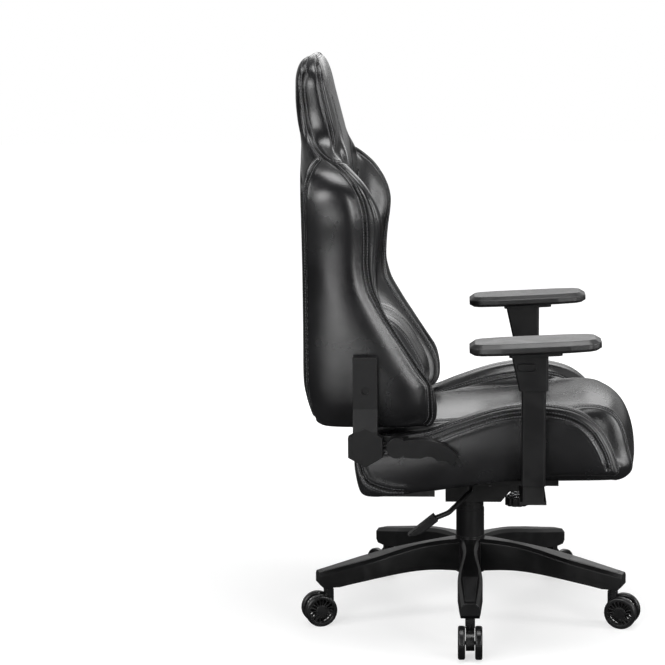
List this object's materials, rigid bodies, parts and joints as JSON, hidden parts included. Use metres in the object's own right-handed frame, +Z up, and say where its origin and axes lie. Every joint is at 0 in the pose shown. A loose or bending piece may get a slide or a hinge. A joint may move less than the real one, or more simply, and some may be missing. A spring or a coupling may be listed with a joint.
{
  "type": "gaming chair",
  "caption": "Racing-style swivel armchair with reclining winged backrest, lumbar pillow, adjustable armrests, gas lift and star base on twin-wheel casters.",
  "frame": {"origin": "on the floor under the gas lift column, at the centre of the star base", "axes": "+X the way the sitter faces, +Y to the sitter's left, +Z up"},
  "size_m": [0.6832, 0.705, 1.145],
  "materials": {
    "black_nylon": "satin",
    "insert_plastic": "matte",
    "caster_plastic": "satin",
    "black_metal": "satin",
    "bright_steel": "polished",
    "chrome_steel": "polished",
    "black_leather": "satin",
    "webbing": "matte",
    "armrest_foam": "matte",
    "cover_plastic": "matte"
  },
  "bodies": {
    "base": {"star_base": "black_nylon", "arm_insert_pads": "insert_plastic", "gas_lift_tube": "black_metal", "guide_bush": "cover_plastic", "thrust_bearing": "bright_steel", "dust_cover_lower": "cover_plastic"},
    "lift_rod": {"piston_rod": "bright_steel"},
    "mechanism": {"gas_cylinder": "chrome_steel", "mechanism_housing": "black_metal", "tilt_axle": "bright_steel", "tension_spring": "bright_steel", "dust_cover_upper": "cover_plastic"},
    "dust_sleeve": {"dust_cover_middle": "cover_plastic"},
    "valve_button": {"release_button": "bright_steel"},
    "lift_lever": {"height_lever": "black_metal", "lever_paddle": "cover_plastic"},
    "seat": {"tilt_plate": "black_metal", "tension_bolt": "bright_steel", "seat_frame": "black_metal", "seat_webbing": "webbing", "seat_cushion": "black_leather", "hinge_lower_plates": "black_metal", "pivot_pins": "bright_steel", "armrest_brackets": "black_metal", "armrest_posts": "cover_plastic", "frame_bolts": "bright_steel"},
    "knob": {"tension_knob": "cover_plastic"},
    "back": {"hinge_upper_arms": "black_metal", "hinge_bolts": "bright_steel", "hinge_covers": "cover_plastic", "spiral_springs": "bright_steel", "back_frame": "black_metal", "back_webbing": "webbing", "back_cushion": "black_leather", "lumbar_pillow": "black_leather"},
    "recline_handle": {"recline_lever": "black_metal", "lever_grip": "cover_plastic"},
    "arm_right": {"armrest_shroud_right": "cover_plastic"},
    "arm_button_right": {"armrest_button_right": "cover_plastic"},
    "arm_turntable_right": {"armrest_carrier_right": "cover_plastic"},
    "arm_pad_right": {"armrest_pad_right": "armrest_foam"},
    "arm_left": {"armrest_shroud_left": "cover_plastic"},
    "arm_button_left": {"armrest_button_left": "cover_plastic"},
    "arm_turntable_left": {"armrest_carrier_left": "cover_plastic"},
    "arm_pad_left": {"armrest_pad_left": "armrest_foam"},
    "caster_1": {"caster_yoke_1": "caster_plastic"},
    "wheel_1a": {"caster_wheel_1a": "caster_plastic"},
    "wheel_1b": {"caster_wheel_1b": "caster_plastic"},
    "caster_2": {"caster_yoke_2": "caster_plastic"},
    "wheel_2a": {"caster_wheel_2a": "caster_plastic"},
    "wheel_2b": {"caster_wheel_2b": "caster_plastic"},
    "caster_3": {"caster_yoke_3": "caster_plastic"},
    "wheel_3a": {"caster_wheel_3a": "caster_plastic"},
    "wheel_3b": {"caster_wheel_3b": "caster_plastic"},
    "caster_4": {"caster_yoke_4": "caster_plastic"},
    "wheel_4a": {"caster_wheel_4a": "caster_plastic"},
    "wheel_4b": {"caster_wheel_4b": "caster_plastic"},
    "caster_5": {"caster_yoke_5": "caster_plastic"},
    "wheel_5a": {"caster_wheel_5a": "caster_plastic"},
    "wheel_5b": {"caster_wheel_5b": "caster_plastic"}
  },
  "joints": [
    {"name": "seat_swivel", "type": "hinge", "parent": "base", "child": "lift_rod", "pos_m": [0, 0, 0.096], "axis": [0, 0, 1], "continuous": true},
    {"name": "seat_height", "type": "slide", "parent": "lift_rod", "child": "mechanism", "axis": [0, 0, 1], "range_m": [0, 0.08]},
    {"name": "dust_sleeve_slide", "type": "slide", "parent": "base", "child": "dust_sleeve", "axis": [0, 0, 1], "range_m": [0, 0.04]},
    {"name": "lift_lever_pull", "type": "hinge", "parent": "mechanism", "child": "lift_lever", "pos_m": [0, -0.0365, 0.278], "axis": [-1, 0, 0], "range_deg": [0, 5], "stiffness_Nm_per_rad": 4, "springref_deg": -11.46},
    {"name": "valve_press", "type": "slide", "parent": "mechanism", "child": "valve_button", "axis": [0, 0, -1], "range_m": [0, 0.0036]},
    {"name": "seat_tilt", "type": "hinge", "parent": "mechanism", "child": "seat", "pos_m": [0.04, 0, 0.28], "axis": [0, -1, 0], "range_deg": [0, 12], "stiffness_Nm_per_rad": 120, "springref_deg": -20.05, "deforming": ["tension_spring"]},
    {"name": "tension_turn", "type": "hinge", "parent": "seat", "child": "knob", "pos_m": [0.095, 0, 0.234], "axis": [0, 0, 1], "continuous": true},
    {"name": "back_recline", "type": "hinge", "parent": "seat", "child": "back", "pos_m": [-0.2, 0, 0.405], "axis": [0, -1, 0], "range_deg": [0, 50]},
    {"name": "recline_pull", "type": "hinge", "parent": "seat", "child": "recline_handle", "pos_m": [-0.14, -0.27, 0.405], "axis": [0, -1, 0], "range_deg": [0, 25], "stiffness_Nm_per_rad": 0.8, "springref_deg": -17.19},
    {"name": "armrest_height_right", "type": "slide", "parent": "seat", "child": "arm_right", "axis": [0, 0, 1], "range_m": [0, 0.07]},
    {"name": "armrest_button_press_right", "type": "slide", "parent": "arm_right", "child": "arm_button_right", "axis": [0, 1, 0], "range_m": [0, 0.002], "stiffness_N_per_m": 400, "springref_m": -0.002},
    {"name": "armrest_swivel_right", "type": "hinge", "parent": "arm_right", "child": "arm_turntable_right", "pos_m": [0.1225, -0.299, 0.5935], "axis": [-0.0448, 0, 0.999], "range_deg": [-15, 15]},
    {"name": "armrest_slide_right", "type": "slide", "parent": "arm_turntable_right", "child": "arm_pad_right", "axis": [0.999, 0, 0.0448], "range_m": [-0.025, 0.025]},
    {"name": "armrest_height_left", "type": "slide", "parent": "seat", "child": "arm_left", "axis": [0, 0, 1], "range_m": [0, 0.07]},
    {"name": "armrest_button_press_left", "type": "slide", "parent": "arm_left", "child": "arm_button_left", "axis": [0, -1, 0], "range_m": [0, 0.002], "stiffness_N_per_m": 400, "springref_m": -0.002},
    {"name": "armrest_swivel_left", "type": "hinge", "parent": "arm_left", "child": "arm_turntable_left", "pos_m": [0.1225, 0.299, 0.5935], "axis": [-0.0448, 0, 0.999], "range_deg": [-15, 15]},
    {"name": "armrest_slide_left", "type": "slide", "parent": "arm_turntable_left", "child": "arm_pad_left", "axis": [0.999, 0, 0.0448], "range_m": [-0.025, 0.025]},
    {"name": "caster_swivel_1", "type": "hinge", "parent": "base", "child": "caster_1", "pos_m": [0, -0.3, 0.078], "axis": [0, 0, 1], "continuous": true},
    {"name": "wheel_spin_1a", "type": "hinge", "parent": "caster_1", "child": "wheel_1a", "pos_m": [0, -0.32, 0.0325], "axis": [1, 0, 0], "continuous": true},
    {"name": "wheel_spin_1b", "type": "hinge", "parent": "caster_1", "child": "wheel_1b", "pos_m": [0, -0.32, 0.0325], "axis": [1, 0, 0], "continuous": true},
    {"name": "caster_swivel_2", "type": "hinge", "parent": "base", "child": "caster_2", "pos_m": [0.28532, -0.0927, 0.078], "axis": [0, 0, 1], "continuous": true},
    {"name": "wheel_spin_2a", "type": "hinge", "parent": "caster_2", "child": "wheel_2a", "pos_m": [0.30434, -0.09889, 0.0325], "axis": [0.309, 0.9511, 0], "continuous": true},
    {"name": "wheel_spin_2b", "type": "hinge", "parent": "caster_2", "child": "wheel_2b", "pos_m": [0.30434, -0.09889, 0.0325], "axis": [0.309, 0.9511, 0], "continuous": true},
    {"name": "caster_swivel_3", "type": "hinge", "parent": "base", "child": "caster_3", "pos_m": [0.17634, 0.24271, 0.078], "axis": [0, 0, 1], "continuous": true},
    {"name": "wheel_spin_3a", "type": "hinge", "parent": "caster_3", "child": "wheel_3a", "pos_m": [0.18809, 0.25888, 0.0325], "axis": [-0.809, 0.5878, 0], "continuous": true},
    {"name": "wheel_spin_3b", "type": "hinge", "parent": "caster_3", "child": "wheel_3b", "pos_m": [0.18809, 0.25888, 0.0325], "axis": [-0.809, 0.5878, 0], "continuous": true},
    {"name": "caster_swivel_4", "type": "hinge", "parent": "base", "child": "caster_4", "pos_m": [-0.17634, 0.24271, 0.078], "axis": [0, 0, 1], "continuous": true},
    {"name": "wheel_spin_4a", "type": "hinge", "parent": "caster_4", "child": "wheel_4a", "pos_m": [-0.18809, 0.25888, 0.0325], "axis": [-0.809, -0.5878, 0], "continuous": true},
    {"name": "wheel_spin_4b", "type": "hinge", "parent": "caster_4", "child": "wheel_4b", "pos_m": [-0.18809, 0.25888, 0.0325], "axis": [-0.809, -0.5878, 0], "continuous": true},
    {"name": "caster_swivel_5", "type": "hinge", "parent": "base", "child": "caster_5", "pos_m": [-0.28532, -0.0927, 0.078], "axis": [0, 0, 1], "continuous": true},
    {"name": "wheel_spin_5a", "type": "hinge", "parent": "caster_5", "child": "wheel_5a", "pos_m": [-0.30434, -0.09889, 0.0325], "axis": [0.309, -0.9511, 0], "continuous": true},
    {"name": "wheel_spin_5b", "type": "hinge", "parent": "caster_5", "child": "wheel_5b", "pos_m": [-0.30434, -0.09889, 0.0325], "axis": [0.309, -0.9511, 0], "continuous": true}
  ],
  "couplings": [
    {"joint": "dust_sleeve_slide", "follows": "seat_height", "ratio": 0.5},
    {"joint": "valve_press", "follows": "lift_lever_pull", "m_per_rad": 0.0405}
  ]
}
